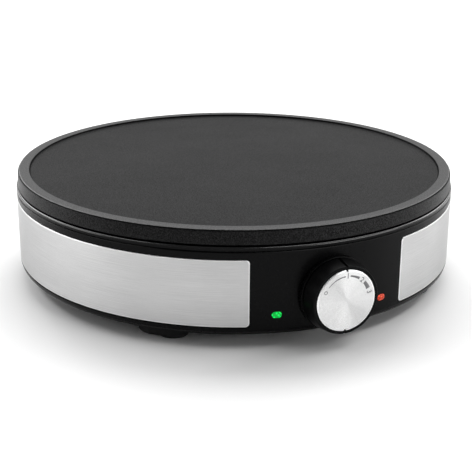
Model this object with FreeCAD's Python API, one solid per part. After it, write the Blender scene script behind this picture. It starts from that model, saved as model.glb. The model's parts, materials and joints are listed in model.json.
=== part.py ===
import FreeCAD, Part
import math
import os

# Electric crepe maker: a round cast cooking plate on a low drum-shaped base, with a
# front control section (rotary heat knob and two signal lamps) between two curved
# steel side panels.  Millimetres, +Z up.  Origin: the plane the feet stand on, on
# the axis of the cooking plate.  The knob faces -Y, +X is to the right of it.

os.makedirs("parts", exist_ok=True)
V = FreeCAD.Vector

# ------------------------------------------------------------------ driving sizes
PLATE_R = 155.0          # outer radius of the plate's rim
RIM_Z = 78.5             # top of the rim above the table
RECESS_R = 147.0         # shallow cooking recess
RECESS_DEPTH = 1.5
PLATE_T = 4.0            # plate thickness under the cooking surface
SKIRT_R = 156.5          # the skirt flares out a little
SKIRT_Z = 68.9           # lower edge of the skirt

RING_R = 157.5           # black trim ring
RING_TOP = 67.9
RING_SEAT = 64.6

BODY_R = 157.3           # base housing
BODY_TOP = 64.5
BODY_BOTTOM = 10.0
WALL = 2.6
BODY_RI = BODY_R - WALL

PANEL_R = 157.4          # steel side panels
PANEL_T = 0.8
PANEL_Z0, PANEL_Z1 = 15.35, 59.65
PANEL_EDGE = 19.79       # degrees from the knob axis to the panel's end
PANEL_CORNER = 2.6
PANEL_GAP = 0.6

KNOB_Z = 34.4
KNOB_FACE = 173.4        # distance of the metal disc's face from the plate axis
KNOB_BACK = 162.2
DISC_R = 19.95
COLLAR_R, COLLAR_RI, COLLAR_FACE = 24.0, 19.5, 160.5
SHAFT_R = 3.0

LAMP_AZ, LAMP_Z = 13.6, 23.0
LAMP_W, LAMP_H = 6.0, 4.0

FOOT_AZ = (39.7, 140.3, -140.3, -39.7)
FOOT_PCR, FOOT_R, FOOT_H = 136.5, 9.8, 3.3

POST_AZ = (45.0, 135.0, -135.0, -45.0)
POST_PCR = 128.0
COVER_POST_AZ = (20.0, 160.0, -160.0, -20.0)
COVER_POST_PCR = 140.0

ELEMENT_R, ELEMENT_TUBE, ELEMENT_Z = 105.0, 4.0, 66.9
ELEMENT_GAP = 14.0       # half angle left open at the rear
SHIELD_Z, SHIELD_T, SHIELD_R = 59.2, 0.8, 144.0

GLAND_Z = 27.0
GLAND_BORE = 4.2

UNDER = RIM_Z - RECESS_DEPTH - PLATE_T      # underside of the plate


# ------------------------------------------------------------------------ helpers
def poly(points):
    return Part.Face(Part.makePolygon([V(*p) for p in points] + [V(*points[0])]))


def rev(profile, angle=360.0, start=0.0):
    """Turn an (r, z) profile about the plate axis."""
    f = poly([(r, 0, z) for r, z in profile])
    f.rotate(V(0, 0, 0), V(0, 0, 1), start)
    return f.revolve(V(0, 0, 0), V(0, 0, 1), angle)


def rev_front(profile, z):
    """Turn a (t, rho) profile about the knob axis; t is the distance from the plate axis."""
    f = poly([(0, -t, z + rho) for t, rho in profile])
    return f.revolve(V(0, 0, z), V(0, 1, 0), 360)


def box(x0, x1, y0, y1, z0, z1):
    return Part.makeBox(x1 - x0, y1 - y0, z1 - z0, V(x0, y0, z0))


def cz(r, z0, z1, x=0.0, y=0.0):
    return Part.makeCylinder(r, z1 - z0, V(x, y, z0), V(0, 0, 1))


def cf(r, t0, t1, x=0.0, z=KNOB_Z):
    """Cylinder on a front-to-back axis between distances t0 and t1 in front of the plate axis."""
    return Part.makeCylinder(r, t1 - t0, V(x, -t0, z), V(0, -1, 0))


def cr(r, y0, y1, x=0.0, z=0.0):
    """Cylinder along +Y between y0 and y1."""
    return Part.makeCylinder(r, y1 - y0, V(x, y0, z), V(0, 1, 0))


def fbox(x0, x1, t0, t1, z0, z1):
    """Box in front of the plate axis, t measured towards the knob."""
    return box(x0, x1, -t1, -t0, z0, z1)


def turn(shape, az):
    """Copy of a shape made at the knob's azimuth, carried round by az degrees (+ is to the right)."""
    s = shape.copy()
    s.rotate(V(0, 0, 0), V(0, 0, 1), az)
    return s


def polar(r, az, z=0.0):
    a = math.radians(az)
    return V(r * math.sin(a), -r * math.cos(a), z)


def fuse(first, *others):
    s = first
    for o in others:
        s = s.fuse(o)
    return s.removeSplitter()


def cut(first, *others):
    s = first
    for o in others:
        s = s.cut(o)
    return s


def stadium(w, h, t0, t1, z):
    """Slot-shaped prism w wide and h high, along the front-to-back direction."""
    d = (w - h) / 2.0
    a = cf(h / 2.0, t0, t1, -d, z)
    b = cf(h / 2.0, t0, t1, d, z)
    return fuse(a, b, fbox(-d, d, t0, t1, z - h / 2.0, z + h / 2.0))


def arc_plate(r0, r1, z0, z1, az0, az1, corner):
    """Curved plate between two radii, heights and azimuths, with rounded corners."""
    s = rev([(r0, z0), (r1, z0), (r1, z1), (r0, z1)], az1 - az0, az0 - 90.0)
    edges = []
    for e in s.Edges:
        a, b = e.Vertexes[0].Point, e.Vertexes[-1].Point
        if abs(a.z - b.z) < 1e-6 and abs(e.Length - (r1 - r0)) < 1e-4:
            edges.append(e)
    return s.makeFillet(corner, edges)


def tube(points, r, bends):
    """Round lead or rod: straight runs joined by tangent arcs."""
    pts = [V(*p) for p in points]
    edges, here = [], pts[0]
    for i in range(1, len(pts) - 1):
        u = (pts[i - 1] - pts[i]).normalize()
        w = (pts[i + 1] - pts[i]).normalize()
        ang = u.getAngle(w)
        bend = bends[i - 1]
        if math.pi - ang < 1e-4:
            continue
        d = bend / math.tan(ang / 2.0)
        a, b = pts[i] + u * d, pts[i] + w * d
        bis = (u + w).normalize()
        mid = pts[i] + bis * (bend / math.sin(ang / 2.0) - bend)
        if (a - here).Length > 1e-6:
            edges.append(Part.LineSegment(here, a).toShape())
        edges.append(Part.Arc(a, mid, b).toShape())
        here = b
    edges.append(Part.LineSegment(here, pts[-1]).toShape())
    path = Part.Wire(edges)
    d0 = (pts[1] - pts[0]).normalize()
    ring = Part.Wire([Part.makeCircle(r, pts[0], d0)])
    s = path.makePipeShell([ring], True, False)
    want = math.pi * r * r * path.Length
    if abs(s.Volume - want) > 0.01 * want:
        print("tube volume differs", s.Volume, want)
    return s


def saddle(r, half_len, axis, x, y, z, top):
    """Thin strap that holds a round body of radius r against the plate's underside."""
    t, ear = 0.7, 6.5
    ri, ro = r + 0.15, r + 0.15 + t
    outer = fuse(cr(ro, -half_len, half_len, 0, z), box(-ro, ro, -half_len, half_len, z, top))
    outer = fuse(outer, box(-ro - ear, ro + ear, -half_len, half_len, top - t, top))
    inner = fuse(cr(ri, -half_len - 1, half_len + 1, 0, z),
                 box(-ri, ri, -half_len - 1, half_len + 1, z, top + 1))
    s = outer.cut(inner)
    for sx in (-1, 1):
        s = s.cut(cz(1.6, top - 3, top + 1, sx * (ro + ear / 2.0 + 0.3)))
    if axis == "x":
        s.rotate(V(0, 0, 0), V(0, 0, 1), 90)
    s.translate(V(x, y, 0))
    off = ro + ear / 2.0 + 0.3
    holes = [(x - off, y), (x + off, y)] if axis == "y" else [(x, y - off), (x, y + off)]
    return s, holes


def small_screw(x, y, seat, length, shank, head_r, head_h):
    """Screw driven upwards: the head's upper face bears at z = seat."""
    s = fuse(cz(head_r, seat - head_h, seat, x, y), cz(shank, seat, seat + length, x, y))
    slot = box(x - head_r, x + head_r, y - 0.45, y + 0.45, seat - head_h, seat - head_h + 0.45 * head_h)
    return s.cut(slot)


parts = {}

# ------------------------------------------------------------------- cooking plate
plate = rev([
    (0, RIM_Z - RECESS_DEPTH), (RECESS_R, RIM_Z - RECESS_DEPTH), (RECESS_R + 0.9, RIM_Z),
    (PLATE_R - 1.7, RIM_Z), (PLATE_R, RIM_Z - 1.6), (SKIRT_R, SKIRT_Z + 0.5),
    (SKIRT_R - 0.3, SKIRT_Z), (PLATE_R - 1.6, SKIRT_Z), (PLATE_R - 3.2, UNDER),
    (113, UNDER), (113, 67.0), (97, 67.0), (97, UNDER), (0, UNDER)])
# the raised rib that holds the element is left out where the element turns down
gap = poly([(0, 0, 66.0), (120 * math.sin(math.radians(-17)), 120 * math.cos(math.radians(17)), 66.0),
            (0, 135, 66.0),
            (120 * math.sin(math.radians(17)), 120 * math.cos(math.radians(17)), 66.0)]).extrude(V(0, 0, UNDER - 66.0))
gap = gap.cut(cz(90, 60, 80))
plate = plate.cut(gap)
groove = Part.makeTorus(ELEMENT_R, ELEMENT_TUBE + 0.15, V(0, 0, ELEMENT_Z), V(0, 0, 1))
plate = plate.cut(groove)
for az in POST_AZ:
    p = polar(POST_PCR, az)
    plate = plate.fuse(cz(7.0, SHIELD_Z + SHIELD_T, UNDER + 0.2, p.x, p.y))
plate = plate.removeSplitter()
for az in POST_AZ:
    p = polar(POST_PCR, az)
    plate = plate.cut(cz(2.52, 50, 71.0, p.x, p.y))

# ----------------------------------------------------------------- heating element
g = math.radians(ELEMENT_GAP)
ends = []
for s in (-1, 1):
    start = V(s * ELEMENT_R * math.sin(g), ELEMENT_R * math.cos(g), ELEMENT_Z)
    tang = V(-s * math.cos(g), math.sin(g), 0)
    ends.append((start, tang))
BEND = 9.0
RUN = 5.0
LEG_BOTTOM = 52.0
q = math.sqrt(0.5)


def leg_edges(start, tang):
    a = start + tang * RUN
    b = a + tang * BEND + V(0, 0, -BEND)
    m = a + tang * (BEND * q) + V(0, 0, -BEND * (1 - q))
    c = V(b.x, b.y, LEG_BOTTOM)
    return a, m, b, c


aL, mL, bL, cL = leg_edges(*ends[0])
aR, mR, bR, cR = leg_edges(*ends[1])
path = Part.Wire([
    Part.LineSegment(cL, bL).toShape(), Part.Arc(bL, mL, aL).toShape(),
    Part.LineSegment(aL, ends[0][0]).toShape(),
    Part.Arc(ends[0][0], V(0, -ELEMENT_R, ELEMENT_Z), ends[1][0]).toShape(),
    Part.LineSegment(ends[1][0], aR).toShape(), Part.Arc(aR, mR, bR).toShape(),
    Part.LineSegment(bR, cR).toShape()])
ring = Part.Wire([Part.makeCircle(ELEMENT_TUBE, cL, V(0, 0, 1))])
element = path.makePipeShell([ring], True, False)
want = math.pi * ELEMENT_TUBE ** 2 * path.Length
if abs(element.Volume - want) > 0.01 * want:
    print("element volume differs", element.Volume, want)
parts["heating_element"] = element
LEGS = [(cL.x, cL.y), (cR.x, cR.y)]

beads, pins = [], []
for x, y in LEGS:
    beads.append(cz(3.6, 48.0, LEG_BOTTOM, x, y).cut(cz(1.3, 40, 60, x, y)))
    pins.append(fuse(cz(1.2, 41.5, LEG_BOTTOM, x, y), box(x - 3.15, x + 3.15, y - 0.4, y + 0.4, 34.0, 42.0)))
parts["element_insulators"] = Part.makeCompound(beads)
parts["heater_terminals"] = Part.makeCompound(pins)

# ------------------------------------------- sensor bulb, fuse and earth on the plate
BULB_Y, BULB_Z = -60.0, UNDER - 0.15 - 3.0
bulb = fuse(Part.makeCylinder(3.0, 68, V(-34, BULB_Y, BULB_Z), V(1, 0, 0)),
            Part.makeCylinder(1.5, 3.0, V(34, BULB_Y, BULB_Z), V(1, 0, 0)))
parts["sensor_bulb"] = bulb
clips, holes = [], []
for x in (-20.0, 20.0):
    s, h = saddle(3.0, 5.0, "x", x, BULB_Y, BULB_Z, UNDER)
    clips.append(s)
    holes += h
parts["bulb_clips"] = Part.makeCompound(clips)

FUSE_X, FUSE_Z = -50.0, UNDER - 0.15 - 2.0
parts["thermal_fuse"] = fuse(cr(2.0, -6, 6, FUSE_X, FUSE_Z), cr(0.5, -12, 12, FUSE_X, FUSE_Z))
s, h = saddle(2.0, 3.5, "y", FUSE_X, 0.0, FUSE_Z, UNDER)
parts["fuse_clip"] = s
holes += h
parts["clip_screws"] = Part.makeCompound([small_screw(x, y, UNDER - 0.7, 2.5, 1.45, 2.7, 1.8) for x, y in holes])
for x, y in holes:
    plate = plate.cut(cz(1.5, UNDER - 1, UNDER + 2.0, x, y))

EARTH = (-1.0, 48.0)
plate = plate.cut(cz(2.0, UNDER - 1, UNDER + 2.6, *EARTH))
parts["cooking_plate"] = plate
lug = fuse(cz(4.2, UNDER - 0.8, UNDER, *EARTH), box(-3.2, 1.2, 48, 66, UNDER - 0.8, UNDER)).cut(cz(2.1, 60, 80, *EARTH))
parts["earth_lug"] = lug
parts["earth_screw"] = small_screw(EARTH[0], EARTH[1], UNDER - 0.8, 3.2, 1.95, 3.6, 2.4)

# --------------------------------------------------------------------- heat shield
shield = rev([(0, SHIELD_Z), (SHIELD_R - SHIELD_T, SHIELD_Z), (SHIELD_R - SHIELD_T, SHIELD_Z - 5.2),
              (SHIELD_R, SHIELD_Z - 5.2), (SHIELD_R, SHIELD_Z + SHIELD_T), (0, SHIELD_Z + SHIELD_T)])
CAP_X, CAP_Y = 50.0, BULB_Y
cuts = [cz(6.0, 50, 65, x, y) for x, y in LEGS]
cuts += [cz(2.75, 50, 65, polar(POST_PCR, a).x, polar(POST_PCR, a).y) for a in POST_AZ]
cuts += [cz(3.0, 50, 65, CAP_X, CAP_Y), cz(3.2, 50, 65, FUSE_X, -24), cz(3.2, 50, 65, FUSE_X, 24),
         cz(3.2, 50, 65, -1, 62)]
shield = cut(shield, *cuts)
parts["heat_shield"] = shield

standoffs, screws = [], []
for az in POST_AZ:
    p = polar(POST_PCR, az)
    standoffs.append(cz(6.0, 44.0, SHIELD_Z, p.x, p.y).cut(cz(2.75, 40, 62, p.x, p.y)))
    screws.append(fuse(cz(4.2, 14.0, 18.0, p.x, p.y), cz(2.5, 18.0, 70.0, p.x, p.y))
                  .cut(cz(1.9, 13.0, 16.0, p.x, p.y)))
parts["plate_standoffs"] = Part.makeCompound(standoffs)
parts["plate_screws"] = Part.makeCompound(screws)

# ----------------------------------------------------------------------- base ring
ring = rev([(151.0, RING_TOP), (RING_R - 0.9, RING_TOP), (RING_R - 0.25, RING_TOP - 0.2),
            (RING_R, RING_TOP - 0.8), (RING_R, RING_SEAT + 0.4), (RING_R - 0.4, RING_SEAT),
            (BODY_RI - 0.3, RING_SEAT), (BODY_RI - 0.3, 60.2), (BODY_RI - 1.9, 60.2),
            (BODY_RI - 1.9, RING_SEAT), (151.0, RING_SEAT + 0.8)])
parts["base_ring"] = ring

# -------------------------------------------------------------------- base housing
house = rev([(BODY_RI, BODY_TOP), (BODY_R - 0.4, BODY_TOP), (BODY_R, BODY_TOP - 0.4),
             (BODY_R, 14.0), (BODY_R - 0.6, 12.0), (BODY_R - 1.7, 10.6), (153.9, BODY_BOTTOM),
             (151.6, BODY_BOTTOM), (151.6, 14.6), (BODY_RI, 18.0)])
pad = cf(15.0, 151.0, 155.5)
adds = [pad]
for az in POST_AZ:
    adds.append(turn(cz(8.0, 18.0, 44.0, 0, -POST_PCR), az))
    adds.append(turn(box(-2, 2, -155.6, -133, 18.5, 44.0), az))
for az in COVER_POST_AZ:
    adds.append(turn(cz(5.0, 10.0, 36.0, 0, -COVER_POST_PCR), az))
    adds.append(turn(box(-1.5, 1.5, -155.6, -143, 20.0, 36.0), az))
# shelf over the terminal block, at the rear
adds.append(box(-20, 20, 117, 155.3, 36.0, 39.0))
adds.append(box(-20, -18, 122, 154.6, 39.0, 48.0))
adds.append(box(18, 20, 122, 154.6, 39.0, 48.0))
house = fuse(house, *adds)
outside = Part.makeCylinder(400, 200, V(0, 0, -50)).cut(Part.makeCylinder(BODY_R, 200, V(0, 0, -50)))
house = house.cut(outside)

cuts = []
for az in POST_AZ:
    cuts.append(turn(cz(2.75, 10, 50, 0, -POST_PCR), az))
for az in COVER_POST_AZ:
    cuts.append(turn(cz(1.52, 5, 30, 0, -COVER_POST_PCR), az))
# pockets for the steel panels
for az0, az1 in ((PANEL_EDGE, 180 - PANEL_EDGE), (180 + PANEL_EDGE, 360 - PANEL_EDGE)):
    cuts.append(arc_plate(PANEL_R - PANEL_T - 0.05, 162.0, PANEL_Z0 - PANEL_GAP, PANEL_Z1 + PANEL_GAP,
                          az0 - 0.22, az1 + 0.22, PANEL_CORNER + 0.5))
STUD_AZ = (45.0, 90.0, 135.0, -45.0, -90.0, -135.0)
for az in STUD_AZ:
    cuts.append(turn(cf(1.8, 140, 165, 0, 50.0), az))
# control section: nut seat, bushing hole, collar peg holes, lamp windows
cuts.append(cf(11.0, 156.0, 165.0))
cuts.append(cf(5.1, 140.0, 165.0))
for x in (-21.7, 21.7):
    cuts.append(cf(1.5, 150.0, 165.0, x))
for az in (-LAMP_AZ, LAMP_AZ):
    cuts.append(turn(stadium(LAMP_W + 0.3, LAMP_H + 0.3, 140, 165, LAMP_Z), az))
# rear: cord gland hole, block screws
cuts.append(cr(7.0, 140, 165, 0, GLAND_Z))
for x in (-6.5, 4.5):
    cuts.append(cz(1.95, 30, 45, x, 127))
house = cut(house, *cuts)
parts["base_housing"] = house

# --------------------------------------------------------------------- side panels
for name, az0, az1, stud in (("steel_panel_right", PANEL_EDGE, 180 - PANEL_EDGE, STUD_AZ[:3]),
                             ("steel_panel_left", 180 + PANEL_EDGE, 360 - PANEL_EDGE, STUD_AZ[3:])):
    s = arc_plate(PANEL_R - PANEL_T, PANEL_R, PANEL_Z0, PANEL_Z1, az0, az1, PANEL_CORNER)
    for az in stud:
        s = s.fuse(turn(cf(1.5, 149.5, PANEL_R - PANEL_T + 0.2, 0, 50.0), az))
    parts[name] = s.removeSplitter()
nuts = []
for az in STUD_AZ:
    nuts.append(turn(cf(4.0, 152.2, 154.6, 0, 50.0).cut(cf(1.55, 150, 156, 0, 50.0)), az))
parts["panel_nuts"] = Part.makeCompound(nuts)

# -------------------------------------------------------------------- control knob
knob = rev_front([
    (KNOB_BACK, 23.9), (170.6, 22.55), (172.3, 22.25), (172.75, 21.9), (172.9, 21.4), (172.9, DISC_R + 0.1),
    (172.2, DISC_R + 0.1), (172.2, 0), (169.9, 0), (169.9, 20.2), (KNOB_BACK, 21.4)], KNOB_Z)
hub = cf(6.6, 161.0, 170.0)
for a in (45, 135, 225, 315):
    web = fbox(5.5, 20.8, 163.4, 170.0, KNOB_Z - 0.8, KNOB_Z + 0.8)
    web.rotate(V(0, 0, KNOB_Z), V(0, 1, 0), a)
    hub = hub.fuse(web)
knob = fuse(knob, hub)
bore = cf(SHAFT_R + 0.04, 150.0, 170.4)
keep = fbox(-10, 10, 150, 171, KNOB_Z - 10, KNOB_Z + 2.46)
slot = fbox(-2.3, 2.3, 150, 169.8, KNOB_Z + 1.0, KNOB_Z + 3.2)
knob = cut(knob, bore.common(keep), slot)
# finger grooves along the knob's side at the top and the bottom
for s in (-1, 1):
    z0, z1 = sorted((KNOB_Z + s * 21.7, KNOB_Z + s * 26.0))
    knob = knob.cut(fbox(-0.8, 0.8, 150, 175, z0, z1))
parts["knob_body"] = knob

disc = rev_front([(172.2, 0), (172.2, DISC_R), (172.9, DISC_R), (KNOB_FACE, DISC_R - 0.55), (KNOB_FACE, 0)], KNOB_Z)
for s in (-1, 1):
    z0, z1 = sorted((KNOB_Z + s * 19.0, KNOB_Z + s * 22.0))
    disc = disc.cut(fbox(-0.75, 0.75, 170, 175, z0, z1))
parts["knob_disc"] = disc

shaft = fuse(cf(SHAFT_R, 135.0, 170.0), cf(4.4, 145.6, 149.4))
shaft = shaft.cut(fbox(-5, 5, 160.4, 171, KNOB_Z + 2.4, KNOB_Z + 6))
parts["thermostat_shaft"] = shaft
parts["knob_clip"] = fbox(-2.1, 2.1, 161.6, 169.6, KNOB_Z + 2.45, KNOB_Z + 2.95)

collar = cf(COLLAR_R, 150.0, COLLAR_FACE).cut(cf(COLLAR_RI, 140, 170)).cut(Part.makeCylinder(BODY_R + 0.05, 200, V(0, 0, -50)))
for x in (-21.7, 21.7):
    collar = collar.fuse(cf(1.4, 152.0, 158.5, x))
collar = collar.removeSplitter()
# index notch in the collar's face at twelve o'clock
collar = collar.cut(fbox(-0.7, 0.7, 159.6, 162, KNOB_Z + 18, KNOB_Z + 26))
parts["knob_collar"] = collar

# ---------------------------------------------------------------------- thermostat
case = fbox(-17, 17, 127, 151, KNOB_Z - 15, KNOB_Z + 15).cut(
    fbox(-15.8, 15.8, 120, 149.8, KNOB_Z - 13.8, KNOB_Z + 13.8))
case = fuse(case, cf(4.95, 149.8, 160.0))
case = case.cut(cf(SHAFT_R + 0.06, 140, 165)).cut(cz(0.9, 45, 55, 10, -139))
parts["thermostat_case"] = case
nut = Part.Face(Part.makePolygon([V(8.0 * math.cos(math.radians(60 * i)), -156.0, KNOB_Z + 8.0 * math.sin(math.radians(60 * i)))
                                  for i in range(7)])).extrude(V(0, -3.0, 0))
parts["thermostat_nut"] = nut.cut(cf(5.0, 150, 165))
base = fbox(-17, 17, 119, 127, KNOB_Z - 15, KNOB_Z + 15)
TABS = (-10.0, 10.0)
tabs = []
for x in TABS:
    base = base.cut(fbox(x - 3.25, x + 3.25, 110, 130, 26.5, 27.5))
    tabs.append(fbox(x - 3.15, x + 3.15, 110, 128.5, 26.6, 27.4))
parts["thermostat_base"] = base
parts["thermostat_tabs"] = Part.makeCompound(tabs)
parts["thermostat_diaphragm"] = fuse(cf(9.0, 131.2, 134.4), cf(2.0, 130.2, 131.2))
parts["thermostat_contacts"] = Part.makeCompound([
    fbox(-13.2, -6.8, 128.5, 128.9, 26.0, 44.0), fbox(6.8, 13.2, 128.5, 128.9, 26.0, 44.0)])
parts["capillary_tube"] = tube([(37, BULB_Y, BULB_Z), (CAP_X, BULB_Y, BULB_Z), (CAP_X, BULB_Y, 53.5),
                                (10, -139, 53.5), (10, -139, 48.6)], 0.8, [5.0, 5.0, 2.5])

# --------------------------------------------------------------------- signal lamps
lens = fuse(stadium(LAMP_W, LAMP_H, 150.6, 157.75, LAMP_Z), fbox(-4.5, 4.5, 152.7, 154.4, LAMP_Z - 3.5, LAMP_Z + 3.5))
holder = fuse(fbox(-5, 5, 134, 150.4, LAMP_Z - 4.5, LAMP_Z + 4.5),
              fbox(-6.8, -4.8, 140, 154.4, LAMP_Z - 3.0, LAMP_Z + 3.0),
              fbox(4.8, 6.8, 140, 154.4, LAMP_Z - 3.0, LAMP_Z + 3.0))
holder = holder.cut(cf(2.6, 138, 155, 0, LAMP_Z)).cut(cf(0.8, 130, 140, 0, LAMP_Z + 1.5)).cut(
    cf(0.8, 130, 140, 0, LAMP_Z - 1.5))
neon = fuse(cf(2.3, 138.2, 147.8, 0, LAMP_Z), Part.makeSphere(2.3, V(0, -147.8, LAMP_Z)))
holders, neons, wires = [], [], []
for az in (-LAMP_AZ, LAMP_AZ):
    holders.append(turn(holder, az))
    neons.append(turn(neon, az))
    side = 1 if az > 0 else -1
    for dz in (-1.5, 1.5):
        a, b = polar(138.2, az, LAMP_Z + dz), polar(125.0, az, LAMP_Z + dz)
        wires.append(tube([tuple(a), tuple(b), (side * 17.0, -121.5, LAMP_Z + dz)], 0.6, [3.0]))
parts["lamp_lens_green"] = turn(lens, -LAMP_AZ)
parts["lamp_lens_red"] = turn(lens, LAMP_AZ)
parts["lamp_holders"] = Part.makeCompound(holders)
parts["neon_lamps"] = Part.makeCompound(neons)
parts["lamp_leads"] = Part.makeCompound(wires)

# ------------------------------------------------------------- cord entry and block
gland = fuse(cr(6.8, 146.0, 158.0, 0, GLAND_Z), cr(10.0, 157.4, 160.5, 0, GLAND_Z)).cut(cr(GLAND_BORE, 140, 165, 0, GLAND_Z))
outer = [e for e in gland.Edges if e.Closed and abs(e.Vertexes[0].Point.y - 160.5) < 1e-6 and e.Length > 50]
gland = gland.makeFillet(1.2, outer)
parts["cord_gland"] = gland
hexn = Part.Face(Part.makePolygon([V(9.6 * math.cos(math.radians(60 * i)), 149.6, GLAND_Z + 9.6 * math.sin(math.radians(60 * i)))
                                   for i in range(7)])).extrude(V(0, 4.5, 0))
parts["gland_nut"] = hexn.cut(cr(6.86, 140, 165, 0, GLAND_Z))

CH_X = (-12.0, -1.0, 10.0)
CH_Z = 27.0
block = box(-18, 18, 118, 136, 22, 36)
clamps, tscrews = [], []
for x in CH_X:
    block = block.cut(cr(2.2, 110, 140, x, CH_Z))
    tb = cr(2.15, 118.5, 135.5, x, CH_Z).cut(cr(1.5, 110, 140, x, CH_Z))
    for y in (122.0, 132.0):
        block = block.cut(cz(1.6, 20, CH_Z, x, y))
        tb = tb.cut(cz(1.1, 20, CH_Z, x, y))
        tscrews.append(fuse(cz(1.5, 22.4, 24.4, x, y), cz(1.05, 24.4, 25.6, x, y)))
    clamps.append(tb)
for x in (-6.5, 4.5):
    block = block.cut(cz(1.95, 20, 40, x, 127))
parts["terminal_block"] = block
parts["terminal_clamps"] = Part.makeCompound(clamps)
parts["terminal_screws"] = Part.makeCompound(tscrews)
parts["block_screws"] = Part.makeCompound([small_screw(x, 127, 22.0, 16.8, 1.9, 3.4, 2.2) for x in (-6.5, 4.5)])

# ------------------------------------------------------------------- internal leads
LEAD = 1.2
parts["lead_live"] = tube([(-12, 121, CH_Z), (-12, 70, CH_Z), (-26, 0, CH_Z), (-26, -70, CH_Z),
                           (TABS[0], -96, CH_Z), (TABS[0], -110, CH_Z)], LEAD, [30, 30, 14, 8])
parts["lead_switched"] = tube([(TABS[1], -110, CH_Z), (TABS[1], -92, CH_Z), (-20, -60, 44), (FUSE_X, -24, 44),
                               (FUSE_X, -24, FUSE_Z), (FUSE_X, -12, FUSE_Z)], LEAD, [8, 14, 8, 5])
parts["lead_fused"] = tube([(FUSE_X, 12, FUSE_Z), (FUSE_X, 24, FUSE_Z), (FUSE_X, 24, 44), (LEGS[0][0], 84, 38),
                            (LEGS[0][0], LEGS[0][1] - 0.4, 38)], LEAD, [5, 8, 8])
parts["lead_neutral"] = tube([(10, 121, CH_Z), (10, LEGS[1][1], CH_Z), (LEGS[1][0], LEGS[1][1], 34)], LEAD, [4.0]) \
    if abs(LEGS[1][0] - 10) < 1e-6 else tube(
        [(10, 121, CH_Z), (10, 113, CH_Z), (LEGS[1][0], LEGS[1][1], CH_Z), (LEGS[1][0], LEGS[1][1], 34)], LEAD, [3.0, 3.0])
parts["lead_earth"] = tube([(-1, 121, CH_Z), (-1, 62, CH_Z), (-1, 62, UNDER - 0.8)], LEAD, [10.0])

# ---------------------------------------------------------------------- bottom cover
COVER_Z0, COVER_Z1 = 8.0, 10.0
cover = cz(151.2, COVER_Z0, COVER_Z1)
cover = cover.fuse(rev([(95, 6.8), (98, 6.8), (98, 8.2), (95, 8.2)]))
for az in FOOT_AZ:
    # a raised island, longer on the side away from the knob, that carries the round pad
    s = 1.0 if az in (FOOT_AZ[0], FOOT_AZ[2]) else -1.0
    boss = cz(14.2, FOOT_H, 8.2, s * 1.7, -136.0).fuse(cz(14.2, FOOT_H, 8.2, s * 9.1, -136.0))
    boss = boss.fuse(box(min(s * 1.7, s * 9.1), max(s * 1.7, s * 9.1), -150.2, -121.8, FOOT_H, 8.2))
    rim = Part.makeCylinder(150.4, 60, V(0, 0, -10))
    cover = cover.fuse(turn(boss.common(rim), az))
cover = cover.removeSplitter()
cuts = []
for az in FOOT_AZ:
    cuts.append(turn(cz(4.0, 0, 20, 0, -FOOT_PCR), az))
for az in COVER_POST_AZ:
    cuts.append(turn(cz(1.7, 0, 20, 0, -COVER_POST_PCR), az))
for i in range(18):
    cuts.append(turn(box(-1.6, 1.6, -84, -60, 0, 20), 10 + 20 * i))
for i in range(10):
    cuts.append(turn(box(-1.6, 1.6, -48, -28, 0, 20), 18 + 36 * i))
cover = cut(cover, *cuts)
parts["bottom_cover"] = cover
foot = fuse(rev([(0, 0), (FOOT_R - 0.8, 0), (FOOT_R, 0.8), (FOOT_R, FOOT_H), (0, FOOT_H)]), cz(3.9, FOOT_H, 9.6))
feet = []
for az in FOOT_AZ:
    f = foot.copy()
    f.translate(polar(FOOT_PCR, az))
    feet.append(f)
parts["rubber_feet"] = Part.makeCompound(feet)
parts["cover_screws"] = Part.makeCompound([
    small_screw(polar(COVER_POST_PCR, az).x, polar(COVER_POST_PCR, az).y, COVER_Z0, 18.0, 1.5, 3.5, 2.0)
    for az in COVER_POST_AZ])

for name, shape in parts.items():
    if not shape.isValid():
        print("not valid:", name)
    shape.exportStep("parts/%s.step" % name)
    bb = shape.BoundBox
    print("%-22s solids %d  vol %.1f  z %.2f..%.2f" % (name, len(shape.Solids), shape.Volume, bb.ZMin, bb.ZMax))
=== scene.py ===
import json
import math

import bpy
import bmesh
from mathutils import Matrix, Vector


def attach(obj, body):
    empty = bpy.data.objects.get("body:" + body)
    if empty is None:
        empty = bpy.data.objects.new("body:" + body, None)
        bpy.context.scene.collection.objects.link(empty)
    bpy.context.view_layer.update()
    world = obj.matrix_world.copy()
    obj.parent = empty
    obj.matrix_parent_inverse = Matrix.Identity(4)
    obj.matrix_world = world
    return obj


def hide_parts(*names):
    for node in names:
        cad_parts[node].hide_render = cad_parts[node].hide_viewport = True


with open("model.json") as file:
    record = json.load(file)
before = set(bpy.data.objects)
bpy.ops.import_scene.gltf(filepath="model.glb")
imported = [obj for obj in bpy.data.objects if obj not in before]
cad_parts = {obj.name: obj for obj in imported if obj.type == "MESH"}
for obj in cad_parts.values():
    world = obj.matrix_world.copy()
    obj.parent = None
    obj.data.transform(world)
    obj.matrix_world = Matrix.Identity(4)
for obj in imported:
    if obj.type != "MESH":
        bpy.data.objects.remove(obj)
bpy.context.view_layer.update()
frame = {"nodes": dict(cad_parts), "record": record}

nodes = frame["nodes"]
MM = 0.001

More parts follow.
